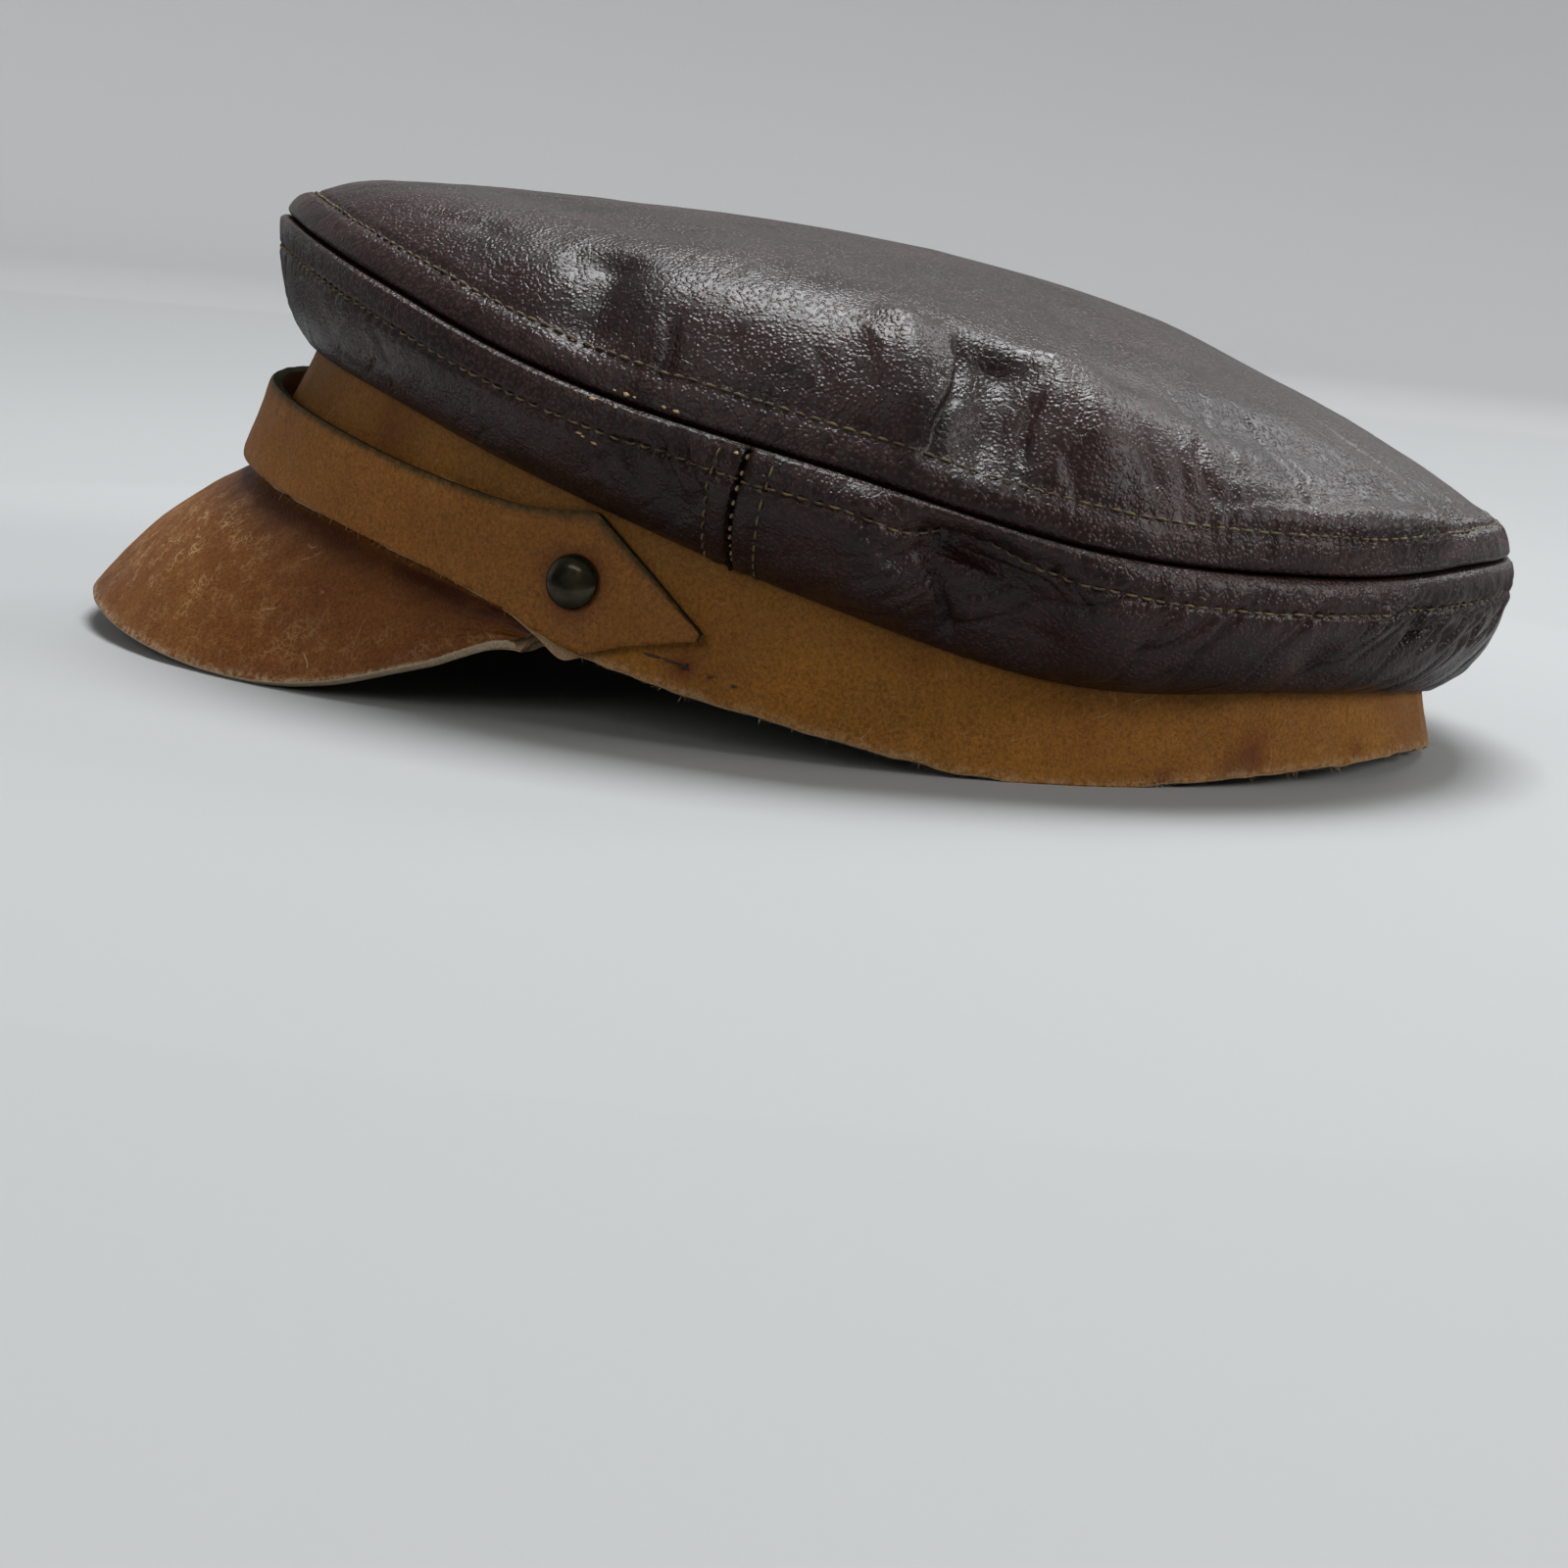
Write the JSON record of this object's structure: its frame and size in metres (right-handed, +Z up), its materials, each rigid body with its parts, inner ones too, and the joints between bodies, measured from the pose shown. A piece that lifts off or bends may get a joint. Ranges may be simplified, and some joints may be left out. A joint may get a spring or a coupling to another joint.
{
  "type": "leather newsboy cap",
  "caption": "Leather cap with a soft stitched crown, a tan head band, a short sloping peak and a riveted front strap, resting on its rim.",
  "frame": {"origin": "on the surface it rests on, under the middle of the cap's outline", "axes": "+Z up, -Y towards the peak, +X towards the wearer's left"},
  "size_m": [0.1948, 0.2376, 0.0777],
  "materials": {
    "crown_leather": "dark oxblood brown, pebbled and glossy, greyer where it is worn",
    "band_leather": "ochre tan, matt and mottled, redder at the back",
    "peak_leather": "reddish tan, waxed, with pale crackle",
    "strap_leather": "tan, smooth, with dark burnished edges",
    "antique_brass": "dark antique brass, polished on its dome"
  },
  "bodies": {
    "root": {"crown_top": "crown_leather", "crown_side_front": "crown_leather", "crown_side_back": "crown_leather", "band": "band_leather", "peak": "peak_leather", "strap": "strap_leather", "rivet_left": "antique_brass", "rivet_right": "antique_brass"}
  },
  "joints": []
}
